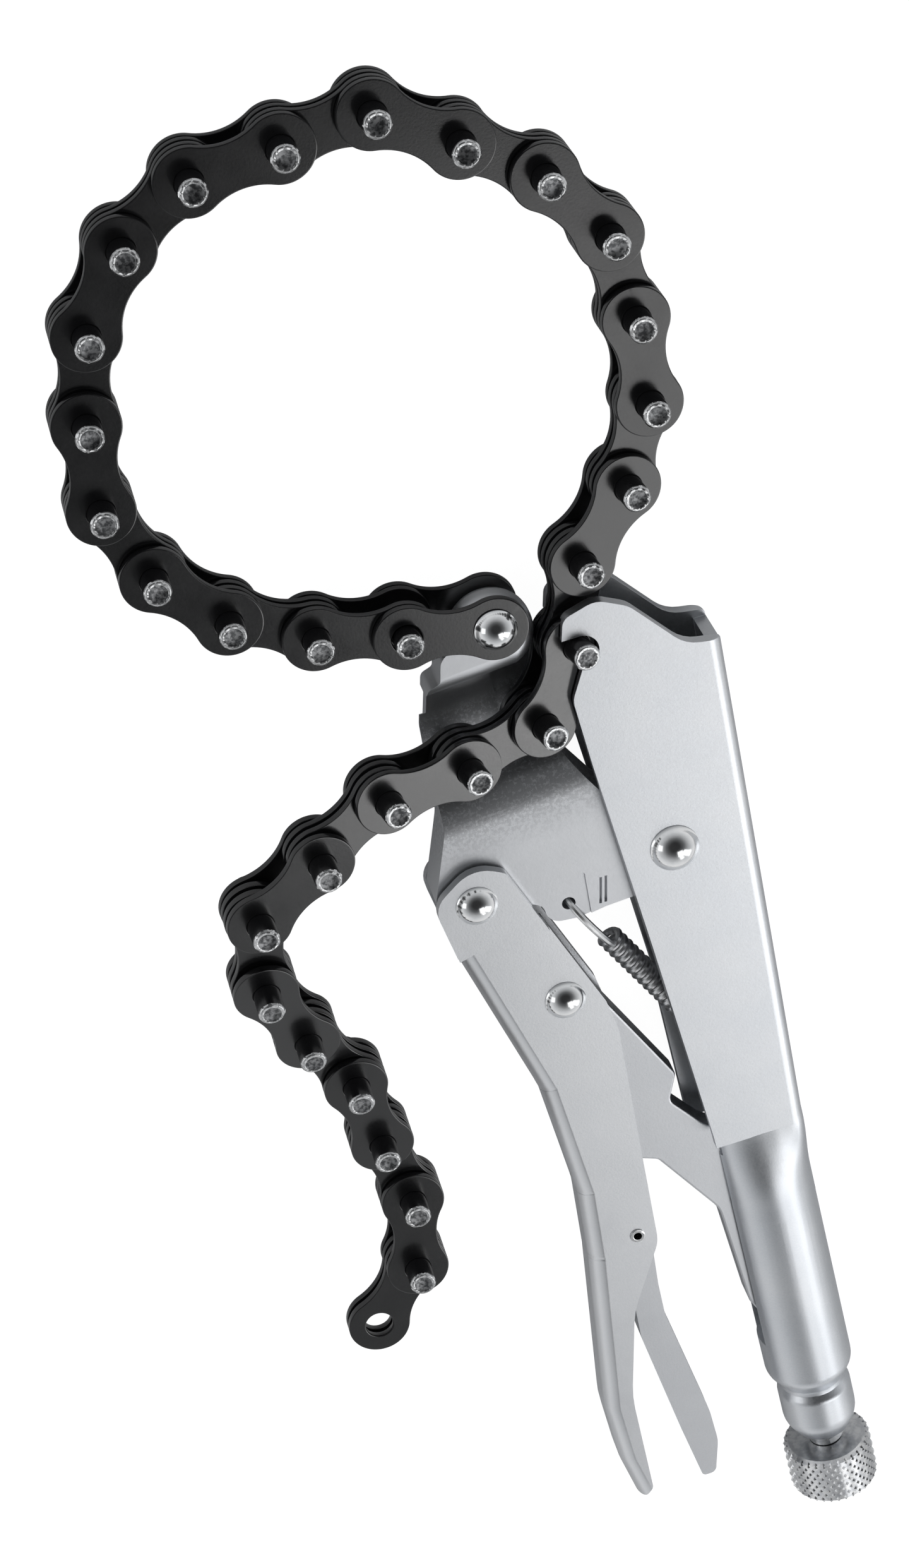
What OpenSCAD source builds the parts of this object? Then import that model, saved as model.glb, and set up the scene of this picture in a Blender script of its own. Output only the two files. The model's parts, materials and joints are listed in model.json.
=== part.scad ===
// Locking chain wrench, lying flat, millimetres, +Z up.
// The layout is worked out about the main rivet, with the tool's mid plane at zero height.
// The last lines move everything so that the origin is at the middle of the footprint.

/* [Chain] */
// Distance between two chain pins
pitch = 15.875; // [15.7:0.025:16]
// Diameter of a chain pin
pin_d = 5; // [4.6:0.1:5.4]
// Diameter of a chain plate's round end
plate_d = 12.2; // [11.6:0.1:12.4]
// Width of a chain plate at its waist
waist_w = 8.4; // [7.6:0.1:9]
// Thickness of a chain plate
plate_t = 1.5; // [1.3:0.05:1.6]
// Gap between neighbouring plates, which lets the chain lean sideways
side_gap = 0.5; // [0.5:0.05:0.6]
// Free space between the two inner plates of a link
core_gap = 0.8; // [0.6:0.1:1]
// Radial play of an inner plate on its pin
pin_play = 0.25; // [0.25:0.01:0.3]
// How far a hooked pin stands proud of the handle
pin_proud = 1.7; // [1.2:0.1:2]

/* [Fixed handle] */
// Thickness of the handle's folded sheet
sheet_t = 2.4; // [2:0.1:2.6]
// Diameter of the round grip
tube_d = 18; // [17:0.5:18.5]
// Wall of the round grip
tube_wall = 2.2; // [1.8:0.1:2.4]
// Sideways distance from the main rivet to the grip's axis
tube_x = 4; // [3.5:0.1:4.5]
// Distance from the main rivet down to the end of the grip
grip_end = 151; // [149:0.5:153]
// Outer radius of the fold along the handle's spine
fold_r = 2.6; // [2.4:0.1:3]

/* [Jaw] */
// Thickness of the jaw's body
jaw_t = 9.2; // [8.8:0.1:9.6]
// Space between parts that turn beside each other
body_gap = 0.5; // [0.4:0.05:0.6]
// Radius of the jaw's nose around the chain's anchor
nose_r = 7.7; // [7.2:0.1:7.8]
// Radius of the nose's rounded rim
nose_round = 3.2; // [2.6:0.1:3.4]

/* [Lever] */
// Thickness of the lever's folded sheet
lever_t = 2; // [1.7:0.1:2.2]
// Outer radius of the fold along the lever's back
back_r = 4.2; // [3:0.1:4.4]
// Thickness of the toggle link
toggle_t = 5; // [4.4:0.1:5.4]
// Running fit of rivets in the parts that turn on them, radial
run_fit = 0.08; // [0.05:0.01:0.1]
// Diameter of the main rivet's shank
main_d = 6; // [5.5:0.1:6.5]
// Diameter of the lever's rivets
rivet_d = 5; // [4.6:0.1:5.2]

/* [Adjusting screw] */
// Diameter of the screw
screw_d = 8; // [7:0.1:8.4]
// Diameter of the knob
knob_d = 18.4; // [17:0.1:18.4]
// Length of the knob
knob_len = 11; // [9:0.5:13]
// Free space between the screw's tip and the toggle link
tip_gap = 0.7; // [0.6:0.05:1]

/* [Hidden] */
$fn = 48;
dark = [0.13, 0.13, 0.14];
steel = [0.62, 0.63, 0.65];
satin = [0.8, 0.81, 0.83];

// Heading, sideways lean and forward dip of every chain link in degrees:
// first the loop from the anchor rivet round to the hook, then the tail to the end eye
LOOP = [
  [168, 0, 0], [165, 0, 0], [150, 0, 0], [130, 0, 0], [109, 0, 0], [83, 0, 0],
  [74, 0, 0], [53, 0, 0], [30, 0, 0], [4, 0, 0], [4, 0, 0], [325, 0, 0],
  [322, 0, 0], [302, 0, 0], [275, 0, 0], [267, 0, 0], [243, 2, 0], [226, 4, 0],
  [252, 6, 0]
];
TAIL = [
  [235, 9, 0], [188, 12, 0], [180, 9, 1], [207, 6, 3], [211, 3, 5], [261, 0, 8],
  [287, 0, 11], [293, 0, 9], [276, 0, 6], [279, 0, 2], [260, 0, 0], [229, 0, 0]
];
LINKS = concat(LOOP, TAIL);
hook_pin = len(LOOP);

// Places about the main rivet
anchor = [-22, 53.5, 0];
nose_at = [anchor.x - 0.4, anchor.y - 2.7];
jaw_pin = [-38, 0.5];
link_pin = [-26.4, -26.5];
release_at = [-24.3, -85];
spring_hole = [-21.2, -6.8];
spring_far = [0, -49];
toggle_tip = [tube_x - 2, -117.5];

// Heights above and below the mid plane
pin_r = pin_d / 2;
plate_r = plate_d / 2;
inner_in = core_gap / 2;
outer_in = inner_in + plate_t + side_gap;
chain_half = outer_in + plate_t;
anchor_in = chain_half + 0.3;
anchor_half = anchor_in + plate_t;
nose_half = anchor_in - 0.3;
jaw_half = jaw_t / 2;
handle_in = max(jaw_half, chain_half) + body_gap;
handle_half = handle_in + sheet_t;
pin_half = handle_half + pin_proud;
ear_in = jaw_half + body_gap;
lever_in = toggle_t / 2 + 0.8;
lever_half = max(lever_in, ear_in) + lever_t;
valley_z = -jaw_half + 0.3;
pad_z = -handle_half + 0.4;
web_z = -pin_half + 0.4;
tube_r = tube_d / 2;
bore_r = tube_r - tube_wall;
screw_r = screw_d / 2;
screw_tip_y = toggle_tip.y - 3.5 - tip_gap;
nut_y = -126;
// From the end of the grip to the knob
knob_free = 3.2;
// How far the rivets' heads stand out beyond their shanks
main_rim = 1.7;
rivet_rim = 1.45;
// Straight edge of the handle's spine, from its top corner down to the grip
spine_top = [17, 39.2];
spine_end = [13, -66];

// Direction of link k, leaned and dipped out of the flat heading
function turned_x(v, a) = [v.x, v.y * cos(a) - v.z * sin(a), v.y * sin(a) + v.z * cos(a)];
function turned_y(v, a) = [v.x * cos(a) + v.z * sin(a), v.y, v.z * cos(a) - v.x * sin(a)];
function link_way(k) =
  let (l = LINKS[k - 1]) turned_y(turned_x([cos(l[0]), sin(l[0]), 0], l[2]), l[1]);
// Centre of pin k; pin 0 is the anchor rivet and the last one is the end eye
function pin_at(k) = k == 0 ? anchor : pin_at(k - 1) + pitch * link_way(k);

hook = pin_at(hook_pin);
hook_lean = LINKS[hook_pin][1];

// The main rivet, seen from the middle of the footprint
pivot_at = [-pin_at(5).x - pin_at(15).x, grip_end + knob_len + knob_free - pin_at(11).y - plate_r] / 2;

// A corner of an outline as an arc: [x, y, radius] with its two neighbours
function flat2(p) = [p[0], p[1]];
function unit(v) = v / norm(v);
function arc_pts(c, r, from, sweep, n) =
  [for (i = [0:n]) c + r * [cos(from + sweep * i / n), sin(from + sweep * i / n)]];
function corner(p, a, b, r) =
  let (
    u = unit(a - p),
    v = unit(b - p),
    half = acos(u * v) / 2,
    c = p + unit(u + v) * r / sin(half),
    s = p + u * r / tan(half) - c,
    e = p + v * r / tan(half) - c,
    from = atan2(s.y, s.x),
    sweep = (atan2(e.y, e.x) - from + 540) % 360 - 180
  ) arc_pts(c, r, from, sweep, max(2, ceil(abs(sweep) / 12)));
function rounded(pts) =
  let (n = len(pts))
  [for (i = [0:n - 1])
    for (q = pts[i][2] == 0 ? [flat2(pts[i])]
      : corner(flat2(pts[i]), flat2(pts[(i + n - 1) % n]), flat2(pts[(i + 1) % n]), pts[i][2])) q];

module slab(low, high) {
  translate([0, 0, low]) linear_extrude(high - low) children();
}

module both_sides(low, high) {
  slab(low, high) children();
  slab(-high, -low) children();
}

// A chain plate, waisted between two round ends
module plate_2d(hole_r) {
  waist_r = (pitch * pitch / 4 + waist_w * waist_w / 4 - plate_r * plate_r) / (plate_d - waist_w);
  waist_y = waist_w / 2 + waist_r;
  touch = plate_r / (plate_r + waist_r) * [pitch / 2, waist_y];
  difference() {
    union() {
      circle(plate_r);
      translate([pitch, 0]) circle(plate_r);
      translate([touch.x, -touch.y]) square([pitch - 2 * touch.x, 2 * touch.y]);
    }
    for (y = [-waist_y, waist_y]) translate([pitch / 2, y]) circle(waist_r);
    circle(hole_r);
    translate([pitch, 0]) circle(hole_r);
  }
}

module on_link(k) {
  l = LINKS[k - 1];
  translate(pin_at(k - 1)) rotate([l[2], l[1], 0]) rotate(l[0]) children();
}

module inner_link(k) {
  color(dark) on_link(k)
    both_sides(inner_in, inner_in + plate_t) plate_2d(pin_r + pin_play);
}

module outer_plates(k) {
  color(dark) on_link(k) both_sides(outer_in, chain_half) plate_2d(pin_r);
}

// One pin with bevelled ends
module chain_pin() {
  bevel = 0.45;
  rotate_extrude() polygon([
    [0, -pin_half], [pin_r - bevel, -pin_half], [pin_r, -pin_half + bevel],
    [pin_r, pin_half - bevel], [pin_r - bevel, pin_half], [0, pin_half]
  ]);
}

module pins(k) {
  color(steel) on_link(k) {
    chain_pin();
    translate([pitch, 0, 0]) chain_pin();
  }
}

module anchor_link() {
  color(dark) on_link(1) both_sides(anchor_in, anchor_half) difference() {
    plate_2d(pin_r + pin_play);
    circle(rivet_d / 2 + run_fit);
  }
}

// A rivet with a domed upper head and a flatter lower head, standing on z = 0
module rivet(shank_r, head_r, half, dome, foot) {
  ball_r = (head_r * head_r + dome * dome) / (2 * dome);
  cylinder(h = 2 * half, r = shank_r, center = true);
  translate([0, 0, half]) intersection() {
    translate([0, 0, dome - ball_r]) sphere(ball_r);
    cylinder(h = dome + 1, r = head_r);
  }
  translate([0, 0, -half - foot]) cylinder(h = foot, r1 = head_r - 0.8, r2 = head_r);
}

module anchor_rivet() {
  color(steel) translate(anchor)
    rivet(rivet_d / 2, rivet_d / 2 + rivet_rim, anchor_half + 0.15, 2.6, 1.2);
}

module main_rivet() {
  color(steel) rivet(main_d / 2, main_d / 2 + main_rim, handle_half, 3, 1.4);
}

module jaw_rivet() {
  color(steel) translate(jaw_pin)
    rivet(rivet_d / 2, rivet_d / 2 + rivet_rim, ear_in + lever_t, 2.4, 1.2);
}

module link_rivet() {
  color(steel) translate(link_pin)
    rivet(rivet_d / 2, rivet_d / 2 + rivet_rim, lever_in + lever_t, 2.4, 1.2);
}

// Side plate of the fixed handle, with the hook for the chain at its top
module handle_2d() {
  near_x = hook.x + (handle_half - hook.z) * tan(hook_lean);
  slot_r = pin_r + 0.5;
  difference() {
    polygon(rounded([
      [hook.x - 2.2, hook.y + 2.6, 0.6], [hook.x - 1, hook.y + 7.2, 2.5],
      [hook.x + 5.5, hook.y + 9, 4.5], [hook.x + 11, hook.y + 6, 5],
      [10.2, 40.4, 7], [spine_top.x, spine_top.y, 1], [spine_end.x, spine_end.y, 0],
      [spine_end.x, -80, 0],
      [-5, -80, 0], [-5.4, -66, 3], [-8.4, -18, 40], [-11.2, 22, 30],
      [-11.9, 36, 4], [hook.x + 0.6, hook.y - 3.2, 1.2]
    ]));
    translate([near_x + 0.3, hook.y]) circle(slot_r);
    translate([near_x - 12, hook.y - slot_r]) square([12.3, 2 * slot_r]);
  }
}

// The far side plate stays wide down to the grip, where the near one tapers
module far_flank_2d() {
  polygon(rounded([[-7.9, -36, 0], [-7.8, -70.6, 3], [0, -70.6, 0], [0, -36, 0]]));
}

// Grip tube, neck and rounded end, turned about the screw's axis
module grip_outer() {
  neck_r = tube_r - 2.2;
  collar_r = tube_r - 1.4;
  translate([tube_x, 0, 0]) rotate([90, 0, 0]) rotate_extrude() polygon(rounded([
    [0, 56, 0], [tube_r - 3.4, 56, 0], [tube_r, 75, 20], [tube_r, grip_end - 18, 4],
    [neck_r, grip_end - 14.5, 1], [neck_r, grip_end - 13.5, 0.6], [collar_r, grip_end - 12, 2],
    [collar_r, grip_end - 4, 6], [neck_r - 1.6, grip_end, 1.5], [0, grip_end, 0]
  ]));
}

module grip_bore() {
  translate([tube_x, 0, 0]) rotate([90, 0, 0]) {
    translate([0, 0, 50]) cylinder(h = -nut_y - 50, r = bore_r);
    translate([0, 0, 50]) cylinder(h = grip_end, r = screw_r + run_fit);
  }
}

// What the two folds along the spine leave off the sharp corners
module fold_corners() {
  way = spine_end - spine_top;
  translate([spine_top.x, spine_top.y, 0]) rotate(atan2(way.y, way.x))
    for (side = [0, 1]) mirror([0, 0, side]) translate([-5, -fold_r, handle_half - fold_r]) difference() {
      cube([norm(way) + 8, fold_r + 2, fold_r + 2]);
      translate([-1, 0, 0]) rotate([0, 90, 0]) cylinder(h = norm(way) + 10, r = fold_r);
    }
}

module fixed_handle() {
  color(satin) difference() {
    union() {
      both_sides(handle_in, handle_half) handle_2d();
      slab(-handle_half, -handle_in) far_flank_2d();
      slab(-handle_half, handle_half) intersection() {
        difference() {
          handle_2d();
          translate([-sheet_t, 0]) handle_2d();
        }
        translate([10, -80]) square([10, 118]);
      }
      difference() {
        grip_outer();
        translate([tube_x, 0, 0]) cube([2 * tube_d, 150, 2 * handle_in], center = true);
      }
    }
    grip_bore();
    fold_corners();
    // room for the first tail link, which leans inside the near plate
    on_link(hook_pin + 1) {
      cylinder(h = chain_half + 0.4, r = plate_r + 0.6);
      translate([0, -plate_r - 0.6, 0]) cube([pitch, plate_d + 1.2, chain_half + 0.4]);
    }
    translate([tube_x - 20, -130 + 6.5, -toggle_t / 2 - 0.8])
      cube([20, 70, toggle_t + 1.6]);
    cylinder(h = 4 * handle_half, r = main_d / 2, center = true);
  }
}

// Jaw outline below the nose
module jaw_2d() {
  polygon(rounded([
    [-24, 50, 0], [-24, 28.5, 4], [-15.7, 23.6, 3], [-9.6, 13, 6],
    [2, 10, 8], [9.5, 2, 7], [5, -8.6, 7], [-14.5, -9.6, 3], [-20, -10.4, 3],
    [-25.6, -9.8, 3], [-26.2, -2, 3], [-33, -6.4, 5], [-44, -6, 6], [-45, 2, 3],
    [-40, 16, 6], [-38.8, 34, 6], [-36.2, 44.4, 1.5], [-33.8, 45.2, 1], [-32.4, 51, 3]
  ]));
}

// Round-rimmed nose for the chain's anchor, and the neck that carries it
module nose() {
  translate(nose_at) rotate_extrude() polygon(rounded([
    [0, -nose_half, 0], [nose_r, -nose_half, nose_round], [nose_r, nose_half, nose_round],
    [0, nose_half, 0]
  ]));
  slab(-nose_half, nose_half) intersection() {
    jaw_2d();
    translate([-60, 34]) square([60, 30]);
  }
}

// Back of the jaw, which closes the trough from below and joins the nose to the body
module jaw_back() {
  slab(pad_z, -nose_half + 1.5) intersection() {
    jaw_2d();
    polygon([
      [-38.6, 13], [-16, 13], [-16, 46.4], [-31.4, 46.4], [-33, 42.2], [-35.6, 41.4], [-37.6, 34],
      [-38.6, 30]
    ]);
  }
  slab(web_z, pad_z + 0.2) polygon([
    [-30, 46.4], [-17, 46.4], [-15, 40], [-15, 26], [-19, 22], [-30, 22]
  ]);
}

// Shallow seat round the spring's hole, and two grooves beside it
module spring_seat() {
  slab(jaw_half - 0.4, jaw_half + 1) polygon(rounded([
    [-25.6, -1, 0.5], [-17, -1, 0.5], [-17.8, -14, 0], [-29, -14, 0], [-26.5, -6, 2]
  ]));
  for (step = [0, 1]) translate([-14.9 + step, -5.9, jaw_half]) rotate(-12)
    cube([0.5, 5.6, 1.6], center = true);
}

// The trough across the jaw's face that the tail of the chain lies in;
// it is wide on the nose side, because the jaw opens and the tail stays at the hook.
// The face bends down into it, and the neck's edge above it is round
module chain_valley() {
  from = pin_at(hook_pin + 1);
  run = pin_at(hook_pin + 3) - from;
  half = plate_r + 1.6;
  nose_side = plate_r + 5.2;
  bend = jaw_half - valley_z;
  long = 90;
  translate([from.x, from.y, 0]) rotate(atan2(run.y, run.x) + 180) translate([-60, 0, 0]) {
    translate([0, -half, valley_z]) cube([long, half + nose_side, 30]);
    translate([0, -half - bend, valley_z]) difference() {
      cube([long, bend + 1, 30]);
      translate([-1, 0, 0]) rotate([0, 90, 0]) cylinder(h = long + 2, r = bend);
    }
    translate([0, nose_side, 0]) difference() {
      translate([0, -1, 0]) cube([long, nose_half + 1, 10]);
      translate([-1, nose_half, 0]) rotate([0, 90, 0]) cylinder(h = long + 2, r = nose_half);
    }
  }
}

module jaw() {
  color(satin) difference() {
    union() {
      slab(-jaw_half, jaw_half) intersection() {
        jaw_2d();
        translate([-60, -30]) square([80, 66]);
      }
      nose();
      jaw_back();
    }
    chain_valley();
    spring_seat();
    translate([0, 0, -30]) {
      cylinder(h = 60, r = main_d / 2 + run_fit);
      translate(jaw_pin) cylinder(h = 60, r = rivet_d / 2 + run_fit);
      translate(flat2(anchor)) cylinder(h = 60, r = rivet_d / 2);
      translate(spring_hole) cylinder(h = 60, r = 1.3);
    }
  }
}

// Outline of the lever, from its ear at the jaw to its tip
module lever_2d() {
  polygon(rounded([
    [-37, 8.6, 6.5], [-31.4, 5.4, 2], [-19, -29.5, 5], [-18, -36, 10], [-19.4, -68, 30],
    [-20.6, -88, 8], [-28.6, -103, 20], [-33.4, -124, 30], [-34, -148.5, 2],
    [-36.8, -152.5, 1], [-39, -140, 20], [-39.4, -126, 40], [-34.6, -88, 40],
    [-33.4, -72, 20], [-35.2, -46, 30], [-43.6, -12, 8], [-45.8, 2.6, 5]
  ]));
}

// What the fold along the lever's back leaves off the sharp corners, one straight run at a time
module back_corners() {
  back = [
    [-43.6, -12], [-35.2, -46], [-33.4, -72], [-34.6, -88], [-39.4, -126], [-39, -140],
    [-36.8, -152.5]
  ];
  outer = lever_in + lever_t;
  for (i = [1:len(back) - 1]) {
    way = back[i] - back[i - 1];
    translate([back[i].x, back[i].y, 0]) rotate(atan2(-way.y, -way.x))
      for (side = [0, 1]) mirror([0, 0, side]) translate([-0.5, -back_r, outer - back_r]) difference() {
        cube([norm(way) + 1, back_r + 3, back_r + 2]);
        translate([-1, 0, 0]) rotate([0, 90, 0]) cylinder(h = norm(way) + 3, r = back_r + 0.15);
      }
  }
}

module lever() {
  color(satin) difference() {
    union() {
      both_sides(ear_in, ear_in + lever_t) intersection() {
        lever_2d();
        translate([-60, -9.5]) square([60, 30]);
      }
      both_sides(lever_in, lever_in + lever_t) intersection() {
        lever_2d();
        translate([-60, -160]) square([60, 152.5]);
      }
      // the joggle between ears and body
      both_sides(lever_in, ear_in + lever_t) intersection() {
        lever_2d();
        translate([-60, -9.5]) square([60, 2]);
      }
      slab(-lever_in - lever_t, lever_in + lever_t) intersection() {
        difference() {
          lever_2d();
          translate([lever_t, 0]) lever_2d();
        }
        translate([-50, -160]) square([18.5, 147]);
      }
    }
    back_corners();
    translate([0, 0, -30]) {
      translate(jaw_pin) cylinder(h = 60, r = rivet_d / 2);
      translate(link_pin) cylinder(h = 60, r = rivet_d / 2);
      translate(release_at) cylinder(h = 60, r = 1.5);
    }
  }
}

module toggle_2d() {
  tip = toggle_tip;
  polygon(rounded([
    [-31, -19.4, 4.5], [-24.6, -19.2, 3], [-9, -52.6, 1.5], [-11.4, -58.4, 2], [-6, -66, 5],
    [tip.x, -72, 10], [tip.x + 2.2, -100, 20], [tip.x + 3.2, tip.y - 3.5, 2.4],
    [tip.x - 3.2, tip.y - 3.5, 2.4], [-5.4, -112, 8], [-7, -87, 6], [-16.4, -71, 2],
    [-19.6, -69.6, 1.5], [-28.4, -48, 10], [-33.4, -30, 5]
  ]));
}

module toggle_link() {
  color(steel) difference() {
    slab(-toggle_t / 2, toggle_t / 2) toggle_2d();
    translate([link_pin.x, link_pin.y, -30]) cylinder(h = 60, r = rivet_d / 2 + run_fit);
  }
}

// Release lever: a toe above its pin, and a grooved tail below
module release_2d() {
  polygon(rounded([
    [-26.4, -79.6, 1.5], [-22.2, -79.6, 1.5], [-21.4, -87, 2], [-22.4, -100, 8],
    [-22.6, -108, 12], [-18.6, -136, 14], [-18.4, -144, 8], [-20.4, -152, 1.5],
    [-23.2, -152, 1], [-25.2, -138, 20], [-28.4, -112, 6], [-27.6, -92, 6]
  ]));
}

module release_lever() {
  half = lever_in - body_gap;
  color(steel) difference() {
    slab(-half, half) release_2d();
    slab(-half + 1.6, half - 1.6) intersection() {
      translate([2.2, 0]) release_2d();
      translate([-40, -160]) square([40, 64]);
    }
    translate([release_at.x, release_at.y, -30]) cylinder(h = 60, r = 1.5 + run_fit);
  }
}

// Rolled pin, open along its middle
module release_pin() {
  color(steel) translate(release_at) difference() {
    cylinder(h = 2 * (lever_in + lever_t) + 0.6, r = 1.5, center = true);
    cylinder(h = 40, r = 0.8, center = true);
  }
}

// Pull spring between the jaw and the inside of the handle, drawn as its sleeve and hooks
module return_spring() {
  wire_r = 0.45;
  way = spring_far - spring_hole;
  reach = norm(way);
  color(steel) translate(spring_hole) rotate(atan2(way.y, way.x)) {
    difference() {
      translate([13, 0, 0]) rotate([0, 90, 0]) cylinder(h = reach - 17, r = 2.5);
      translate([12, 0, 0]) rotate([0, 90, 0]) cylinder(h = reach - 15, r = 1.6);
    }
    translate([0, 0, jaw_half + 0.8]) rotate([0, 90, 0]) cylinder(h = 14.6, r = wire_r);
    translate([14.2, 0, 1.2]) cylinder(h = jaw_half - 0.4 + wire_r, r = wire_r);
    translate([0, 0, 1]) cylinder(h = jaw_half - 0.2 + wire_r, r = wire_r);
    translate([reach - 4.6, -2.2, 0]) rotate([0, 90, 0]) cylinder(h = 6, r = wire_r);
  }
}

module adjusting_screw() {
  color(steel) translate([tube_x, 0, 0]) rotate([90, 0, 0]) rotate_extrude() polygon([
    [0, -screw_tip_y], [screw_r - 1.5, -screw_tip_y], [screw_r, -screw_tip_y + 1.5],
    [screw_r, grip_end + 3], [screw_r - 1.5, grip_end + 3],
    [screw_r - 1.5, grip_end + 2 + knob_len], [0, grip_end + 2 + knob_len]
  ]);
}

module knurled_knob() {
  in_r = screw_r - 1.5 + run_fit;
  top = grip_end + knob_free;
  color(steel) translate([tube_x, 0, 0]) rotate([90, 0, 0]) rotate_extrude() polygon([
    [in_r, top], [knob_d / 2 - 0.8, top], [knob_d / 2, top + 0.8],
    [knob_d / 2, top + knob_len - 0.8], [knob_d / 2 - 0.8, top + knob_len], [in_r, top + knob_len]
  ]);
}

module placed() {
  translate([pivot_at.x, pivot_at.y, pin_half]) children();
}

module one(name) {
  placed() children();
}

one("fixed_handle") fixed_handle();
one("main_rivet") main_rivet();
one("adjusting_screw") adjusting_screw();
one("knurled_knob") knurled_knob();
one("jaw") jaw();
one("anchor_rivet") anchor_rivet();
one("lever") lever();
one("jaw_rivet") jaw_rivet();
one("toggle_link") toggle_link();
one("link_rivet") link_rivet();
one("release_lever") release_lever();
one("release_pin") release_pin();
one("return_spring") return_spring();
one("anchor_link") anchor_link();
for (k = [2:2:30]) {
  name = str(k < 10 ? "0" : "", k);
  one(str("outer_plates_", name)) outer_plates(k);
  one(str("pins_", name)) pins(k);
}
for (k = [3:2:29]) one(str("inner_link_", k < 10 ? "0" : "", k)) inner_link(k);
one("end_link_31") inner_link(31);
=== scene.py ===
# %% [markdown]
# A locking chain wrench, dressed for its portrait.
# The solids come from the CAD model and stay where they are. This lesson gives each of them softened
# edges and a finish, and replaces the few that need finer shapes: the rivets, the coil spring, the thread
# and the knurl.

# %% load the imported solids
import json
import math

import bpy
from mathutils import Matrix, Vector

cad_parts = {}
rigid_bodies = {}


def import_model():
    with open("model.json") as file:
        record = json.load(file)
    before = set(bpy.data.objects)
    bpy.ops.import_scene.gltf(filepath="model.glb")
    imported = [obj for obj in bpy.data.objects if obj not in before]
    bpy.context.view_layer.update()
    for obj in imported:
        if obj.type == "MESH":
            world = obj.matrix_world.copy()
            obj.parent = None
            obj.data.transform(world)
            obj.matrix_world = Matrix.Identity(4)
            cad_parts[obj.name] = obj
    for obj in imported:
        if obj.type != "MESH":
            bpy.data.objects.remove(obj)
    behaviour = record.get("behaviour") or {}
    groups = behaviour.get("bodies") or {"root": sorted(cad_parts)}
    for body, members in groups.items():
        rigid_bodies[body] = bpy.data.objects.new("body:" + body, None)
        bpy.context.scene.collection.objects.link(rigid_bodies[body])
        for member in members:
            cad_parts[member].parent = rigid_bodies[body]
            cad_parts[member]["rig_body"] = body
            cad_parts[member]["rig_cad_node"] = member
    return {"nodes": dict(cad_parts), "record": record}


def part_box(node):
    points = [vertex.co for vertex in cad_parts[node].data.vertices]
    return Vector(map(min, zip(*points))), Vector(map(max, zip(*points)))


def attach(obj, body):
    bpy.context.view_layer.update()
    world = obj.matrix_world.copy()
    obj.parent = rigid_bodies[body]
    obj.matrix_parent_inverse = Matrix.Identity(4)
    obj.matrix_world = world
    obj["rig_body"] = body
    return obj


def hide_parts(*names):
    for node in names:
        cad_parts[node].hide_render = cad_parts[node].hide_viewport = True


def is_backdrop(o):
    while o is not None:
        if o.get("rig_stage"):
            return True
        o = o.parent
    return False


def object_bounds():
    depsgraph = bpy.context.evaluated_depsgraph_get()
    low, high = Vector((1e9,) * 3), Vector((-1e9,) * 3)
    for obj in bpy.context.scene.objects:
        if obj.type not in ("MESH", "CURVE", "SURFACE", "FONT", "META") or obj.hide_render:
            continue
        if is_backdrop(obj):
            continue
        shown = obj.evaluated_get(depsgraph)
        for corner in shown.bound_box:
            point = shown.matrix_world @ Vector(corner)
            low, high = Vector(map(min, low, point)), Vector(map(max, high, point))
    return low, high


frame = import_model()
cad_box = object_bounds()
NODES = frame["nodes"]
RECORD = frame["record"]
BODY = {node: body for body, nodes in RECORD["behaviour"]["bodies"].items() for node in nodes}
print("solids:", len(NODES), "box:", cad_box)

# %% [markdown]
# The CAD layout is measured in millimetres from the main rivet, at the tool's mid plane. The rivet's box
# gives that point across the tool and a chain pin's box gives the mid plane, so the same numbers can be used
# here.

# %% places
MM = 0.001
rivet_low, rivet_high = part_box("main_rivet")
pin_low, pin_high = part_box("pins_02")
MAIN = Vector((
    (rivet_low[0] + rivet_high[0]) / 2, (rivet_low[1] + rivet_high[1]) / 2, (pin_low[2] + pin_high[2]) / 2
))


def at(x, y, z=0.0):
    """A point of the CAD layout, in metres in the frame."""
    return MAIN + Vector((x, y, z)) * MM


TUBE_X = 4.0
SPRING_HOLE = Vector((-21.2, -6.8))
SPRING_FAR = Vector((0.0, -49.0))
print("main rivet at", tuple(round(v, 4) for v in MAIN))

# %% [markdown]
# The camera stands above the chain loop and looks down along the grip, as the photographer did.
# Its place and turn were worked out from the even spacing of the chain's pins.

# %% camera
PHOTO_WIDE, PHOTO_HIGH, PHOTO_FOCUS = 1440, 2483, 5500
SENSOR = 36.0
CAMERA_AT = (-76.41, 342.09, 543.25)
right = Vector((0.9533, -0.2236, 0.203)).normalized()
back = Vector((-0.0645, 0.506, 0.8601)).normalized()
above = back.cross(right).normalized()
right = above.cross(back)
lens = bpy.data.cameras.new("portrait")
lens.sensor_fit = "VERTICAL"
lens.sensor_height = SENSOR
lens.sensor_width = SENSOR * PHOTO_WIDE / PHOTO_HIGH
lens.lens = SENSOR * PHOTO_FOCUS / PHOTO_HIGH
lens.clip_start = 0.01
camera = bpy.data.objects.new("portrait", lens)
bpy.context.scene.collection.objects.link(camera)
camera.matrix_world = Matrix.Translation(at(*CAMERA_AT)) @ Matrix(
    ((right.x, above.x, back.x), (right.y, above.y, back.y), (right.z, above.z, back.z))
).to_4x4()
bpy.context.scene.camera = camera
print("camera at", tuple(round(v, 3) for v in camera.location))

# %% [markdown]
# Shader maths reads better as sums than as a web of boxes. Nodes could be added and linked one by one, but
# a small class that wraps a socket lets the usual signs add Math nodes, and one method adds any other node.

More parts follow.
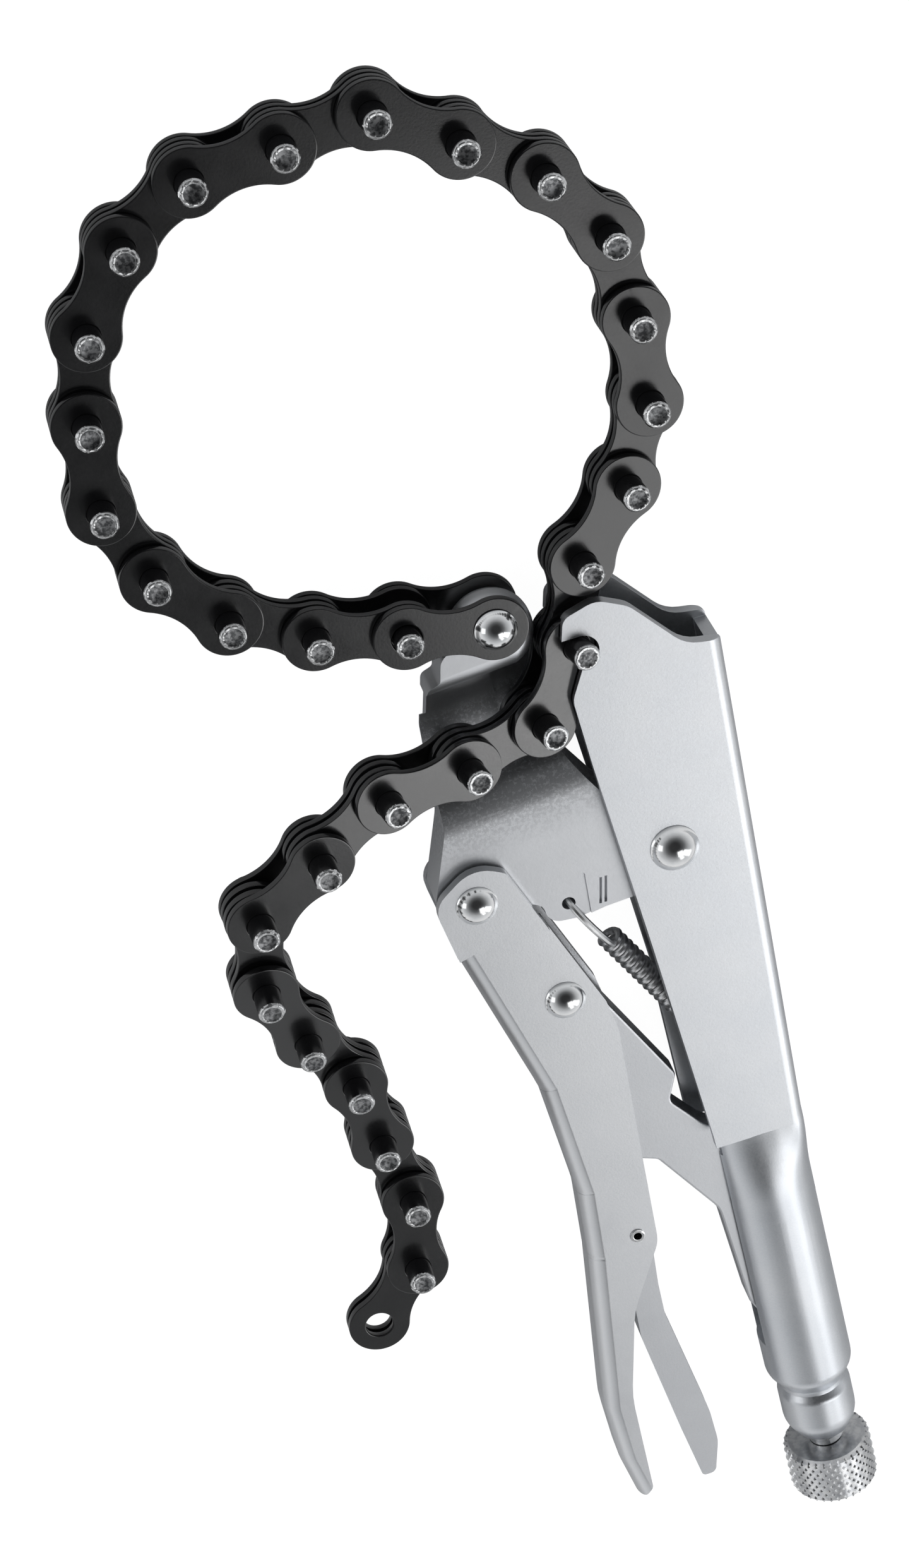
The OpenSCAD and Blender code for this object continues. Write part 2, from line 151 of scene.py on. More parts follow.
# %% a socket that can be added and multiplied
class Wire:
    """An output socket on a sheet of nodes."""

    def __init__(self, sheet, socket):
        self.sheet = sheet
        self.socket = socket

    def maths(self, operation, first, second):
        return self.sheet.add("ShaderNodeMath", {"operation": operation}, Value=first, Value_001=second)

    def __add__(self, other):
        return self.maths("ADD", self, other)

    def __radd__(self, other):
        return self.maths("ADD", other, self)

    def __sub__(self, other):
        return self.maths("SUBTRACT", self, other)

    def __rsub__(self, other):
        return self.maths("SUBTRACT", other, self)

    def __mul__(self, other):
        return self.maths("MULTIPLY", self, other)

    def __rmul__(self, other):
        return self.maths("MULTIPLY", other, self)


print("wires ready")

# %% [markdown]
# A sheet is the node tree of a material or of the world. Two inputs of a node can share a name, as the two
# of a Mix Shader do, so an input is looked up by its identifier first and by its name after that.

# %% sheets of nodes
def fill_ramp(ramp, stops):
    while len(ramp.elements) < len(stops):
        ramp.elements.new(0.5)
    for stop, (where, colour) in zip(ramp.elements, stops):
        stop.position = where
        stop.color = (*colour, 1.0)


class Sheet:
    """A node tree, with one method that adds any node."""

    def __init__(self, tree):
        self.tree = tree

    def add(self, kind, settings=None, out=0, **inputs):
        node = self.tree.nodes.new(kind)
        for key, value in (settings or {}).items():
            if key == "stops":
                fill_ramp(node.color_ramp, value)
            else:
                setattr(node, key, value)
        self.plug(node, **inputs)
        return Wire(self, node.outputs[out])

    def plug(self, node, **inputs):
        """Links wires to a node's inputs, or sets the inputs to plain values."""
        slots = {slot.identifier: slot for slot in node.inputs}
        for key, value in inputs.items():
            slot = slots[key] if key in slots else node.inputs[key.replace("_", " ")]
            if isinstance(value, Wire):
                self.tree.links.new(value.socket, slot)
            else:
                slot.default_value = value


class Finish(Sheet):
    """A material whose textures lie on Object coordinates."""

    def __init__(self, name):
        self.material = bpy.data.materials.new(name)
        self.material.use_nodes = True
        super().__init__(self.material.node_tree)
        self.shader = self.tree.nodes["Principled BSDF"]
        self.place = self.add("ShaderNodeTexCoord", out="Object")

    def noise(self, scale, detail=3.0, rough=0.55):
        return self.add("ShaderNodeTexNoise", Vector=self.place, Scale=scale, Detail=detail, Roughness=rough)

    def blend(self, mask, low, high):
        """A colour between two, by a mask from 0 to 1."""
        return self.add("ShaderNodeValToRGB", {"stops": [(0.0, low), (1.0, high)]}, Fac=mask)

    def ramp(self, value, low, high):
        """0 below low, 1 above high."""
        return self.add("ShaderNodeMapRange", {"interpolation_type": "SMOOTHSTEP"}, Value=value,
                        From_Min=low, From_Max=high)

    def bump(self, height, strength, depth):
        return self.add("ShaderNodeBump", out="Normal", Height=height, Strength=strength, Distance=depth)

    def set(self, **inputs):
        self.plug(self.shader, **inputs)
        return self.material


print("sheets ready")

# %% [markdown]
# The handles are folded from sheet and satin nickel plated. Plate over tumbled sheet isn't a mirror:
# it has a fine grain that breaks up the reflections, and faint cloudy patches. A picture of plate would
# blur close up, so two noises, one coarse and one fine, make the patches and the grain.

# %% plated sheet
def plated(name, dark, light, rough, grain, greyer_span=None):
    """Plate from dark to light; the last argument names two places in Y, past which, down the grip, it turns
    greyer.
    """
    finish = Finish(name)
    cloud = finish.noise(70.0)
    speck = finish.noise(2600.0, 2.0, 0.7)
    mask = cloud * 0.55 + speck * 0.45
    if greyer_span:
        along = finish.add("ShaderNodeSeparateXYZ", out="Y", Vector=finish.place)
        mask = mask - finish.ramp(-1.0 * along, -at(0, greyer_span[0]).y, -at(0, greyer_span[1]).y) * 0.15
    return finish.set(
        Base_Color=finish.blend(mask, dark, light),
        Metallic=1.0,
        Roughness=rough + (speck - 0.5) * 0.16 + (cloud - 0.5) * 0.06,
        Normal=finish.bump(speck, grain, 0.00004),
    )


handle_plate = plated("handle_plate", (0.56, 0.59, 0.63), (0.90, 0.905, 0.915), 0.36, 0.25, (-68, -73))
satin_plate = plated("satin_plate", (0.67, 0.685, 0.71), (0.84, 0.85, 0.865), 0.36, 0.25)
# The toggle link and release lever sit inside the handles, so they get a darker copy of the lever's plate:
# painted shade.
shaded_link_plate = plated("shaded_link_plate", (0.58, 0.595, 0.62), (0.76, 0.77, 0.79), 0.38, 0.25)
print("plated finishes made")

# %% [markdown]
# The jaw is a forging under the same plate, a shade greyer. Where its face bends down to the chain, the
# blasted skin was left rough and grainy, and painted shade darkens it there, with darker specks, fading
# to the ground face. A mask could be painted there, but a ramp along the jaw's own slope needs no
# painting and fades as evenly.

# %% plated forging
SLOPE_TURN = math.radians(4.1)
SLOPE_TOP, SLOPE_FOOT = 6.0, 21.0
NECK_FOOT, NECK_TOP = 34.0, 37.0


def forging():
    finish = Finish("forged_plate")
    cloud = finish.noise(90.0)
    speck = finish.noise(1500.0, 3.0, 0.75)
    across = finish.add("ShaderNodeSeparateXYZ", out="X", Vector=finish.place)
    along = finish.add("ShaderNodeSeparateXYZ", out="Y", Vector=finish.place)
    middle = at(-30.0, 0.0)
    height = (along - middle.y) * math.cos(SLOPE_TURN) - (across - middle.x) * math.sin(SLOPE_TURN)
    slope = finish.ramp(height, SLOPE_TOP * MM, SLOPE_FOOT * MM)
    # This ramp paints shade on the slope down to the chain, and the grain mask below darkens specks in it:
    # painted shade. The rougher, bumpier skin there is the forging's own.
    slope_shade = slope - finish.ramp(height, NECK_FOOT * MM, NECK_TOP * MM)
    grain = finish.ramp(speck + slope_shade * 0.1, 0.48, 0.6)
    tone = 0.82 - slope_shade * 0.04 - slope_shade * grain * 0.26 + (cloud - 0.5) * 0.08
    return finish.set(
        Base_Color=finish.blend(tone, (0.05, 0.05, 0.055), (0.86, 0.875, 0.90)),
        Metallic=1.0,
        Roughness=0.40 + slope_shade * 0.12 + (speck - 0.5) * 0.12,
        Normal=finish.bump(speck, 0.2 + slope_shade * 0.5, 0.00006),
    )


forged_plate = forging()
print("forging finish made")

# %% [markdown]
# The chain is blackened steel: nearly black, with an oily sheen. The oxide bends light more than paint
# does, so where a plate mirrors the lamp it turns grey, and elsewhere it stays black. A dark metal would
# mirror alike from all sides, so this is a dark body with a high index of refraction instead.

# %% blackened steel
def blackened(name, dark, light, rough):
    finish = Finish(name)
    cloud = finish.noise(160.0)
    speck = finish.noise(2200.0, 2.0, 0.7)
    return finish.set(
        Base_Color=finish.blend(cloud * 0.6 + speck * 0.4, dark, light),
        Metallic=0.0,
        IOR=1.85,
        Roughness=rough + (cloud - 0.5) * 0.10 + (speck - 0.5) * 0.08,
        Normal=finish.bump(speck, 0.2, 0.00003),
    )


black_plate = blackened("black_plate", (0.004, 0.004, 0.0045), (0.010, 0.010, 0.011), 0.20)
black_pin = blackened("black_pin", (0.004, 0.004, 0.005), (0.010, 0.010, 0.011), 0.24)
print("black finishes made")

# %% [markdown]
# Pin ends were sheared and then rubbed bare, the rivets were spun to a polish, and the spring, screw
# and knob are plain bright steel. They differ in tone, roughness and the size of their mottling, so one
# function that takes those values makes them all.

# %% bright steel
def bright(name, dark, light, rough, scale=900.0):
    finish = Finish(name)
    cloud = finish.noise(scale)
    return finish.set(
        Base_Color=finish.blend(finish.ramp(cloud, 0.36, 0.64), dark, light),
        Metallic=1.0,
        Roughness=rough + (cloud - 0.5) * 0.12,
        Normal=finish.bump(cloud, 0.15, 0.00003),
    )


pin_face = bright("pin_face", (0.07, 0.072, 0.075), (0.26, 0.263, 0.268), 0.40, 1500.0)
pin_rim = bright("pin_rim", (0.50, 0.505, 0.51), (0.68, 0.685, 0.69), 0.30)
rivet_steel = bright("rivet_steel", (0.74, 0.75, 0.76), (0.84, 0.845, 0.85), 0.15, 300.0)
knob_steel = bright("knob_steel", (0.62, 0.63, 0.65), (0.82, 0.825, 0.83), 0.24)
screw_steel = bright("screw_steel", (0.55, 0.56, 0.58), (0.72, 0.73, 0.74), 0.26)
spring_wire = bright("spring_wire", (0.74, 0.745, 0.75), (0.84, 0.845, 0.85), 0.30)
print("bright finishes made")

# %% [markdown]
# No real edge is razor sharp. A copy of a solid has its loose triangles merged, flat areas joined
# back into whole faces, and its hard edges bevelled, so that each edge catches a thread of light.
# Weighted normals then keep the flat faces flat, and only the bevels bend the light.

# %% softened copies of the solids
MERGE_NEAR, FLAT_WITHIN = 2e-6, math.radians(1)
BEVEL_ABOVE, SMOOTH_BELOW = math.radians(28), math.radians(32)


def pick(*pieces):
    bpy.ops.object.select_all(action="DESELECT")
    for piece in pieces:
        piece.select_set(True)
    bpy.context.view_layer.objects.active = pieces[-1]


def apply_modifier(piece, kind, **settings):
    pick(piece)
    modifier = piece.modifiers.new(kind.lower(), kind)
    for key, value in settings.items():
        setattr(modifier, key, value)
    bpy.ops.object.modifier_apply(modifier=modifier.name)


def edit_all(piece):
    """Enters edit mode with everything selected."""
    pick(piece)
    bpy.ops.object.mode_set(mode="EDIT")
    bpy.ops.mesh.select_all(action="SELECT")


def merged_copy(node):
    pick(NODES[node])
    bpy.ops.object.duplicate()
    piece = bpy.context.active_object
    piece.parent = None
    piece.matrix_world = Matrix.Identity(4)
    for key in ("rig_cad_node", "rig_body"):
        del piece[key]
    piece.name = piece.data.name = node + "_dressed"
    edit_all(piece)
    bpy.ops.mesh.remove_doubles(threshold=MERGE_NEAR)
    bpy.ops.mesh.dissolve_limited(angle_limit=FLAT_WITHIN)
    bpy.ops.object.mode_set(mode="OBJECT")
    return piece


def finished(piece, material, body):
    """Smooth shading, a material, and a body to ride on."""
    pick(piece)
    bpy.ops.object.shade_smooth_by_angle(angle=SMOOTH_BELOW)
    apply_modifier(piece, "WEIGHTED_NORMAL", keep_sharp=True, weight=100)
    piece.data.materials.clear()
    piece.data.materials.append(material)
    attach(piece, body)
    return piece


def softened(node, material, width, segments=2, shape=None):
    piece = merged_copy(node)
    if shape:
        piece = shape(piece)
    if width:
        apply_modifier(piece, "BEVEL", width=width * MM, segments=segments, limit_method="ANGLE",
                       angle_limit=BEVEL_ABOVE, use_clamp_overlap=True)
    finished(piece, material, BODY[node])
    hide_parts(node)
    return piece


def laid(piece, start, way):
    """Turns the Z axis to a direction, moves the origin to a place and applies both."""
    piece.matrix_world = Matrix.Translation(start) @ way.to_track_quat("Z", "X").to_matrix().to_4x4()
    pick(piece)
    bpy.ops.object.transform_apply(location=True, rotation=True, scale=True)
    return piece


def joined(name, *pieces):
    pick(*pieces)
    bpy.ops.object.join()
    piece = bpy.context.active_object
    piece.name = piece.data.name = name
    return piece


print("ways to soften and to join ready")

# %% [markdown]
# The fixed handle's box is pressed into a tube: its face ends in a low lip, below which the tube swells to
# its full round, while the folded corner on the right runs on into it. Sculpting could give that shape, but
# a cylinder that is cut into rings, each shaped by a few measures, can be set again. This sleeve goes
# between the box and the tube.

# %% sleeve of the grip
DOWN = Vector((0.0, -1.0, 0.0))
GRIP_R, FLAT_HALF, SLOT_HALF, SLEEVE_WALL = 9.03, 7.5, 3.3, 1.6
LIP, LIP_PRESS, SWELL_END = -68.9, 0.79, -84.0
FOLD_R, FOLD_X, FOLD_Z = 2.6, 10.4, 4.87
BLEND_FROM, BLEND_WIDE = 2.0, 5.0
SIDE_WITHIN = 0.1
SLEEVE = (-66.8, LIP, -69.8, -71.0, -72.5, -74.0, -76.0, -78.0, -80.0, -82.0, SWELL_END, -86.0, -90.0)


def cut(piece, y, **sides):
    """Cuts a piece across the grip at a place along it, in mm, and may clear one side."""
    edit_all(piece)
    bpy.ops.mesh.bisect(plane_co=at(0, y), plane_no=(0, 1, 0), use_fill=bool(sides), **sides)
    bpy.ops.object.mode_set(mode="OBJECT")


def ease(value):
    value = min(1.0, max(0.0, value))
    return value * value * (3.0 - 2.0 * value)


def sleeve_height(x, y):
    """Half the sleeve's height: pressed in on the left, and like the folded corner on the right."""
    full = math.sqrt(max(GRIP_R ** 2 - (x - TUBE_X) ** 2, 0.0))
    corner = FOLD_Z + math.sqrt(max(FOLD_R ** 2 - max(x - FOLD_X, 0.0) ** 2, 0.0))
    swell = ease((LIP - y) / (LIP - SWELL_END))
    pressed = (LIP_PRESS + (1.0 - LIP_PRESS) * swell) * full
    folded = corner + (full - corner) * swell
    return pressed + (folded - pressed) * ease((x - BLEND_FROM) / BLEND_WIDE)


def grip_sleeve():
    """The stretch where the box section becomes a tube, open on the left for the toggle link."""
    bpy.ops.mesh.primitive_cylinder_add(
        vertices=64, radius=GRIP_R * MM, depth=(SLEEVE[0] - SLEEVE[-1]) * MM, end_fill_type="NOTHING"
    )
    sleeve = laid(bpy.context.active_object, at(TUBE_X, (SLEEVE[0] + SLEEVE[-1]) / 2), DOWN)
    for y in SLEEVE[1:-1]:
        cut(sleeve, y)
    for vertex in sleeve.data.vertices:
        x, y, z = (vertex.co - MAIN) / MM
        if abs(z) > SIDE_WITHIN:
            vertex.co = at(x, y, math.copysign(sleeve_height(x, y), z))
    for face in sleeve.data.polygons:
        x, y, z = (face.center - MAIN) / MM
        face.select = x < 0 and abs(z) < SLOT_HALF
    bpy.ops.object.mode_set(mode="EDIT")
    bpy.ops.mesh.delete(type="FACE")
    bpy.ops.object.mode_set(mode="OBJECT")
    apply_modifier(sleeve, "SOLIDIFY", thickness=SLEEVE_WALL * MM, offset=-1.0)
    return sleeve


def pressed_shoulder(box):
    """Takes the CAD copy's box and tube apart and sets the sleeve between them."""
    pick(box)
    bpy.ops.object.duplicate()
    tube = bpy.context.active_object
    cut(box, LIP, clear_inner=True)
    for vertex in box.data.vertices:
        vertex.co.z = MAIN.z + max(-FLAT_HALF * MM, min(FLAT_HALF * MM, vertex.co.z - MAIN.z))
    cut(tube, SLEEVE[-2], clear_outer=True)
    return joined(box.name, tube, grip_sleeve(), box)


print("rings in the sleeve:", len(SLEEVE))

# %% [markdown]
# The two folded handles, the forging between them and the parts inside them are copies of their solids.
# Each has its own width of bevel, from 0.15 mm on the rolled pin to 0.7 mm on the lever.

# %% dressed handles, jaw and inner parts
softened("fixed_handle", handle_plate, 0.45, 3, pressed_shoulder)
softened("jaw", forged_plate, 0.6, 3)
softened("lever", satin_plate, 0.7, 3)
# The toggle link and release lever take the darker plate, painted shade for sitting inside the handles.
softened("toggle_link", shaded_link_plate, 0.5)
softened("release_lever", shaded_link_plate, 0.5)
softened("release_pin", rivet_steel, 0.15)
print("handles, jaw and inner parts dressed")

# %% [markdown]
# Then the chain. The pin ends are bare steel: the flat end is grey and mottled, and a ring round it, which
# is inset from its edge, is brighter, and so is the bevel. A picture could show that ring, but
# an inset gives it a true edge at any distance.

# %% dressed chain
PIN_RING = 0.35
BEVEL_TILT, END_TILT = 0.4, 0.9
FACE_SLOT, RIM_SLOT = 1, 2


def pin_ends(piece):
    """Insets the flat ends, and gives face, ring and bevel their steel."""
    piece.data.materials.append(pin_face)
    piece.data.materials.append(pin_rim)
    pick(piece)
    bpy.ops.object.mode_set(mode="EDIT")
    bpy.ops.mesh.select_mode(type="FACE")
    bpy.ops.mesh.select_all(action="DESELECT")
    bpy.ops.object.mode_set(mode="OBJECT")
    for face in piece.data.polygons:
        flatness = abs(face.normal.z)
        face.material_index = RIM_SLOT if flatness > BEVEL_TILT else 0
        face.select = flatness > END_TILT
    bpy.ops.object.mode_set(mode="EDIT")
    bpy.ops.mesh.inset(thickness=PIN_RING * MM, use_individual=True)
    bpy.ops.object.mode_set(mode="OBJECT")
    for face in piece.data.polygons:
        if face.select:
            face.material_index = FACE_SLOT


links = 0
for node in NODES:
    if node.startswith("pins"):
        pin_ends(softened(node, black_pin, 0.0))
    elif node.startswith(("anchor_link", "outer", "inner", "end_link")):
        softened(node, black_plate, 0.25)
        links += 1
print("chain links dressed:", links)

# %% [markdown]
# New pieces are built about the origin along Z and then laid in place. A screw modifier winds a small
# outline round that axis, which makes the spring's coils and the screw's thread, and with no rise the rivets
# and the knob's ring. A curve with a round bevel could make the coils, but not a thread's tooth.

# %% winding
def wound(name, outline, radius, rise, turns, steps):
    """Sweeps a closed outline, (outward, upward) pairs in mm, round Z, rising by so much a turn."""
    bpy.ops.mesh.primitive_circle_add(vertices=len(outline), radius=1.0)
    piece = bpy.context.active_object
    piece.name = piece.data.name = name
    for vertex, (out, up) in zip(piece.data.vertices, outline):
        vertex.co = Vector((radius + out, 0.0, up)) * MM
    apply_modifier(piece, "SCREW", axis="Z", angle=math.tau, screw_offset=rise * MM, iterations=turns,
                   steps=steps, render_steps=steps, use_merge_vertices=True, merge_threshold=1e-7)
    edit_all(piece)
    bpy.ops.mesh.normals_make_consistent(inside=False)
    bpy.ops.object.mode_set(mode="OBJECT")
    return piece


print("winding ready")

# %% [markdown]
# A rivet's polished dome mirrors the whole room, so it has to be rounder than the CAD mesh. Its outline
# is wound once round. The dome's height falls from the middle to a low rim, and the rivet's box gives
# the width and the ends.

# %% rivets
DOME = [(0.0, 1.0), (0.15, 0.985), (0.3, 0.94), (0.45, 0.86), (0.58, 0.76), (0.7, 0.63), (0.8, 0.48),
        (0.87, 0.33), (0.91, 0.22), (0.95, 0.14), (0.99, 0.08), (1.0, 0.0)]
FOOT_CHAMFER, AXIS_MERGE = 0.8, 1e-6
# Shank radius, height of the dome, height of the foot
RIVETS = {
    "main_rivet": (3.0, 3.0, 1.4), "jaw_rivet": (2.5, 2.4, 1.2),
    "link_rivet": (2.5, 2.4, 1.2), "anchor_rivet": (2.5, 2.6, 1.2),
}


def turned_rivet(node, shank, dome, foot):
    low, high = (Vector(corner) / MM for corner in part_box(node))
    head = (high.x - low.x) / 2
    tall = high.z - low.z
    outline = [(head * out, tall - dome + dome * up) for out, up in DOME]
    outline += [(shank, tall - dome), (shank, foot), (head, foot), (head - FOOT_CHAMFER, 0.0), (0.0, 0.0)]
    piece = wound(node + "_turned", outline, 0.0, 0.0, 1, 64)
    edit_all(piece)
    bpy.ops.mesh.remove_doubles(threshold=AXIS_MERGE)
    bpy.ops.object.mode_set(mode="OBJECT")
    laid(piece, Vector(((low.x + high.x) / 2, (low.y + high.y) / 2, low.z)) * MM, Vector((0, 0, 1)))
    finished(piece, rivet_steel, BODY[node])
    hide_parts(node)


for node, sizes in RIVETS.items():
    turned_rivet(node, *sizes)
print("rivets turned:", len(RIVETS))

# %% [markdown]
# The pull spring is wound from bright wire. Its upper end rises over the jaw and hooks into the hole
# beside the lever's ear; a path with five points is enough for that bend.

# %% spring
WIRE_R, WIRE_SIDES, COIL_R, COIL_RISE = 0.72, 8, 1.8, 1.75
COIL_FROM, COIL_TURNS = 13.4, 16
spring_way = SPRING_FAR - SPRING_HOLE
angles = [math.tau * i / WIRE_SIDES for i in range(WIRE_SIDES)]
ROUND = [(math.cos(angle) * WIRE_R, math.sin(angle) * WIRE_R) for angle in angles]
coil = wound("coil", ROUND, COIL_R, COIL_RISE, COIL_TURNS, 20)
way = Vector((spring_way.x, spring_way.y, 0.0)).normalized()
start = at(SPRING_HOLE.x, SPRING_HOLE.y)
laid(coil, start + way * COIL_FROM * MM, way)


def wire_path(name, points, radius):
    """A bent wire through (along the spring, upward) points in mm."""
    bpy.ops.curve.primitive_nurbs_path_add(radius=1.0)
    path = bpy.context.active_object
    path.name = name
    spline = path.data.splines[0]
    for point, (along, up) in zip(spline.points, points):
        place = start + way * along * MM + Vector((0, 0, up)) * MM
        point.co = (*place, 1.0)
    path.data.bevel_depth = radius * MM
    path.data.bevel_resolution = 3
    path.data.use_fill_caps = True
    pick(path)
    path.location = (0, 0, 0)
    bpy.ops.object.convert(target="MESH")
    return bpy.context.active_object


reach = spring_way.length
NEAR_BEND = [(14.4, 2.05), (12.4, 4.8), (7.0, 5.6), (0.1, 6.4), (0.0, 1.2)]
FAR_BEND = [(reach - 4.8, 2.05), (reach - 3.4, 2.4), (reach - 2.0, 2.2), (reach - 0.6, 1.2), (reach, 0.0)]
near_hook = wire_path("near_hook", NEAR_BEND, WIRE_R)
far_hook = wire_path("far_hook", FAR_BEND, WIRE_R)
spring = joined("return_spring_wire", near_hook, far_hook, coil)
finished(spring, spring_wire, BODY["return_spring"])
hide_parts("return_spring")
print("spring faces:", len(spring.data.polygons))

# %% [markdown]
# The adjusting screw shows only a few turns of thread between the grip and the knob, but they move in and
# out as the knob turns, so the whole thread is wound. A bump could fake the teeth, but their outline would
# stay straight.

# %% screw
SCREW_R, THREAD_DEEP, THREAD_RISE, THREAD_TURNS = 4.0, 0.65, 1.5, 20
SCREW_TIP, SCREW_NECK, SCREW_END = -121.7, -154.0, -164.0
TOOTH_FOOT, TOOTH_CREST, TOOTH_SINK, NECK_STEP = 0.7, 0.08, 0.05, 1.5


def rod(name, radius, first, last):
    """A round bar on the grip's axis between two places along it, in mm."""
    bpy.ops.mesh.primitive_cylinder_add(vertices=40, radius=radius * MM, depth=abs(last - first) * MM)
    piece = bpy.context.active_object
    piece.name = name
    return laid(piece, at(TUBE_X, (first + last) / 2), DOWN)


TOOTH = [(-THREAD_DEEP, -TOOTH_FOOT), (0.0, -TOOTH_CREST), (0.0, TOOTH_CREST), (-THREAD_DEEP, TOOTH_FOOT)]
thread = wound("thread", TOOTH, SCREW_R, THREAD_RISE, THREAD_TURNS, 32)
laid(thread, at(TUBE_X, SCREW_NECK + THREAD_RISE * THREAD_TURNS + TOOTH_FOOT), DOWN)
core = rod("core", SCREW_R - THREAD_DEEP + TOOTH_SINK, SCREW_TIP, SCREW_NECK)
neck = rod("neck", SCREW_R - NECK_STEP, SCREW_NECK, SCREW_END)
screw = joined("screw_thread", thread, neck, core)
finished(screw, screw_steel, BODY["adjusting_screw"])
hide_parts("adjusting_screw")
print("screw faces:", len(screw.data.polygons))

# %% [markdown]
# The knob is a turned ring with a diamond knurl. One small pyramid is copied round the ring, and that row
# is copied along it, each time half a step round. Real points, unlike a bump, show at the knob's outline.

# %% knob
KNOB_TOP, KNOB_LEN, KNOB_R, KNOB_BORE = -154.2, 11.0, 9.2, 2.6
KNURL_HIGH, KNURL_ROUND, KNURL_ROWS, KNURL_RISE, KNURL_FROM = 0.32, 34, 9, 1.1, 1.1
RIM_IN, RIM_DOWN = 0.9, 0.7
ring_r = KNOB_R - KNURL_HIGH
RING = [(KNOB_BORE, 0.0), (ring_r - RIM_IN, 0.0), (ring_r, RIM_DOWN), (ring_r, KNOB_LEN - RIM_DOWN),
        (ring_r - RIM_IN, KNOB_LEN), (KNOB_BORE, KNOB_LEN)]
ring = wound("ring", RING, 0.0, 0.0, 1, 72)
half_wide = math.pi * ring_r / KNURL_ROUND
bpy.ops.mesh.primitive_cone_add(
    vertices=4, radius1=MM, depth=2 * KNURL_HIGH * MM, location=(ring_r * MM, 0, KNURL_FROM * MM),
    rotation=(0, math.pi / 2, 0), scale=(KNURL_RISE, half_wide, 1.0))
knurl = bpy.context.active_object
pick(knurl)
bpy.ops.object.transform_apply(location=True, rotation=True, scale=True)


def copied(piece, count, turn, rise):
    """Repeats a piece round and along Z."""
    bpy.ops.object.empty_add(location=(0, 0, rise * MM), rotation=(0, 0, turn))
    step = bpy.context.active_object
    apply_modifier(piece, "ARRAY", count=count, use_relative_offset=False, use_object_offset=True,
                   offset_object=step)
    bpy.data.objects.remove(step)


copied(knurl, KNURL_ROUND, math.tau / KNURL_ROUND, 0.0)
copied(knurl, KNURL_ROWS, math.pi / KNURL_ROUND, KNURL_RISE)
knob = joined("knob_knurled", knurl, ring)
laid(knob, at(TUBE_X, KNOB_TOP), DOWN)
finished(knob, knob_steel, BODY["knurled_knob"])
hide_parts("knurled_knob")
print("knob faces:", len(knob.data.polygons))

# %% [markdown]
# A white sheet of paper stands for the studio table. Lamps strong enough to make it white would bleach the
# steel too, so part of its white is a glow that only the camera sees. The rest is lit, and keeps the shadow.

# %% table
TABLE_WIDE, TABLE_LEVEL = 6.0, -0.0002
GLOW_SHARE, GLOW_STRENGTH = 0.62, 1.55
bpy.ops.mesh.primitive_plane_add(size=TABLE_WIDE, location=(0, 0, TABLE_LEVEL))
table = bpy.context.active_object
table.name = "table"
table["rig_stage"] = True
paper = Finish("paper")
paper.set(Base_Color=(0.9, 0.9, 0.9, 1.0), Roughness=0.9, Specular_IOR_Level=0.0)
seen = paper.add("ShaderNodeLightPath", out="Is Camera Ray") * GLOW_SHARE
glow = paper.add("ShaderNodeEmission", Color=(1, 1, 1, 1), Strength=GLOW_STRENGTH)
lit = Wire(paper, paper.shader.outputs[0])
mix = paper.add("ShaderNodeMixShader", Fac=seen, Shader=lit, Shader_001=glow)
paper.plug(paper.tree.nodes["Material Output"], Surface=mix)
table.data.materials.append(paper.material)
print("table laid")

# %% [markdown]
# Steel shows what is round it. The room is bright low down and dim overhead, so that the polished rivets
# have something dark to mirror. The camera itself sees plain white beyond the table.

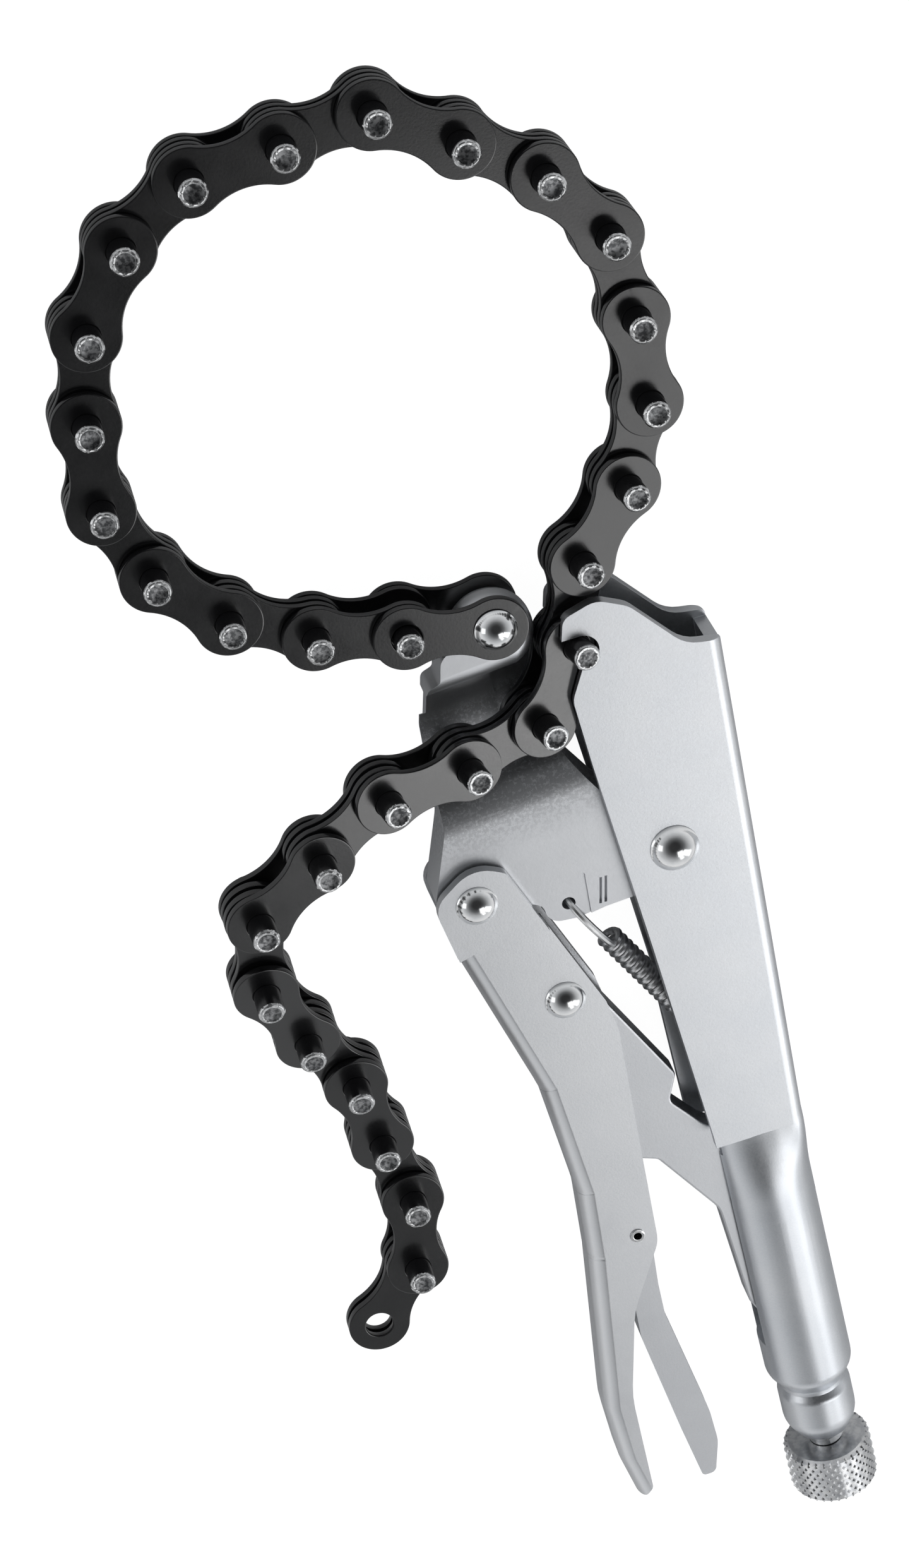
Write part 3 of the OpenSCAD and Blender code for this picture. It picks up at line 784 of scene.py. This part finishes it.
# %% room
DIM_SIDE = (0.0, 0.1, 0.995)
ROOM_SHADES = [
    (0.0, (0.85, 0.85, 0.85)), (0.3, (0.70, 0.71, 0.72)), (0.6, (0.43, 0.437, 0.444)),
    (0.82, (0.12, 0.123, 0.126)), (0.95, (0.03, 0.03, 0.031)),
]
world = bpy.data.worlds.new("room")
bpy.context.scene.world = world
world.use_nodes = True
room = Sheet(world.node_tree)
room.tree.nodes.remove(room.tree.nodes["Background"])
look = room.add("ShaderNodeTexCoord", out="Generated")
upward = room.add("ShaderNodeVectorMath", {"operation": "DOT_PRODUCT"}, out="Value",
                  Vector=look, Vector_001=DIM_SIDE)
shades = room.add("ShaderNodeValToRGB", {"stops": ROOM_SHADES}, Fac=upward)
walls = room.add("ShaderNodeBackground", Color=shades, Strength=1.0)
blank = room.add("ShaderNodeBackground", Color=(1, 1, 1, 1), Strength=1.0)
seen = room.add("ShaderNodeLightPath", out="Is Camera Ray")
either = room.add("ShaderNodeMixShader", Fac=seen, Shader=walls, Shader_001=blank)
room.plug(room.tree.nodes["World Output"], Surface=either)
print("room shades:", len(ROOM_SHADES))

# %% [markdown]
# A big soft lamp hangs beyond the grip's end, a little to the right, where the flat steel mirrors it to the
# camera. A small one lower down streaks the round grip, a strip on the right draws a bright line along
# folds and edges, and one on the left opens the shadows there.

# %% lamps
# Place, aim, width, height, watts
SOFTBOXES = {
    "over_grip": ((0.40, -0.663, 1.301), (0.40, 0.067, 0.051), 0.55, 0.6, 1.5),
    "over_knob": ((0.40, -1.05, 1.02), (0.03, -0.13, 0.0), 0.3, 0.4, 0.45),
    "right_strip": ((0.88, -0.82, 0.96), (0.03, -0.05, 0.0), 0.5, 0.9, 2.5),
    "from_left": ((-1.3, 0.2, 0.7), (0.0, 0.0, 0.0), 0.6, 0.6, 1.2),
}


def softbox(name, place, target, width, height, power):
    lamp = bpy.data.lights.new(name, "AREA")
    lamp.shape = "RECTANGLE"
    lamp.size = width
    lamp.size_y = height
    lamp.energy = power
    box = bpy.data.objects.new(name, lamp)
    bpy.context.scene.collection.objects.link(box)
    box.location = place
    box.rotation_euler = (Vector(target) - Vector(place)).to_track_quat("-Z", "Y").to_euler()


for name, settings in SOFTBOXES.items():
    softbox(name, *settings)
bpy.context.scene.view_settings.view_transform = "Standard"
print("lamps:", len(SOFTBOXES))

# %% [markdown]
# The last cell gathers the two sizes, of the CAD solids and of the dressed scene.

# %% finish
sizes = {"cad": [list(c) for c in cad_box], "visual": [list(c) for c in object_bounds()]}
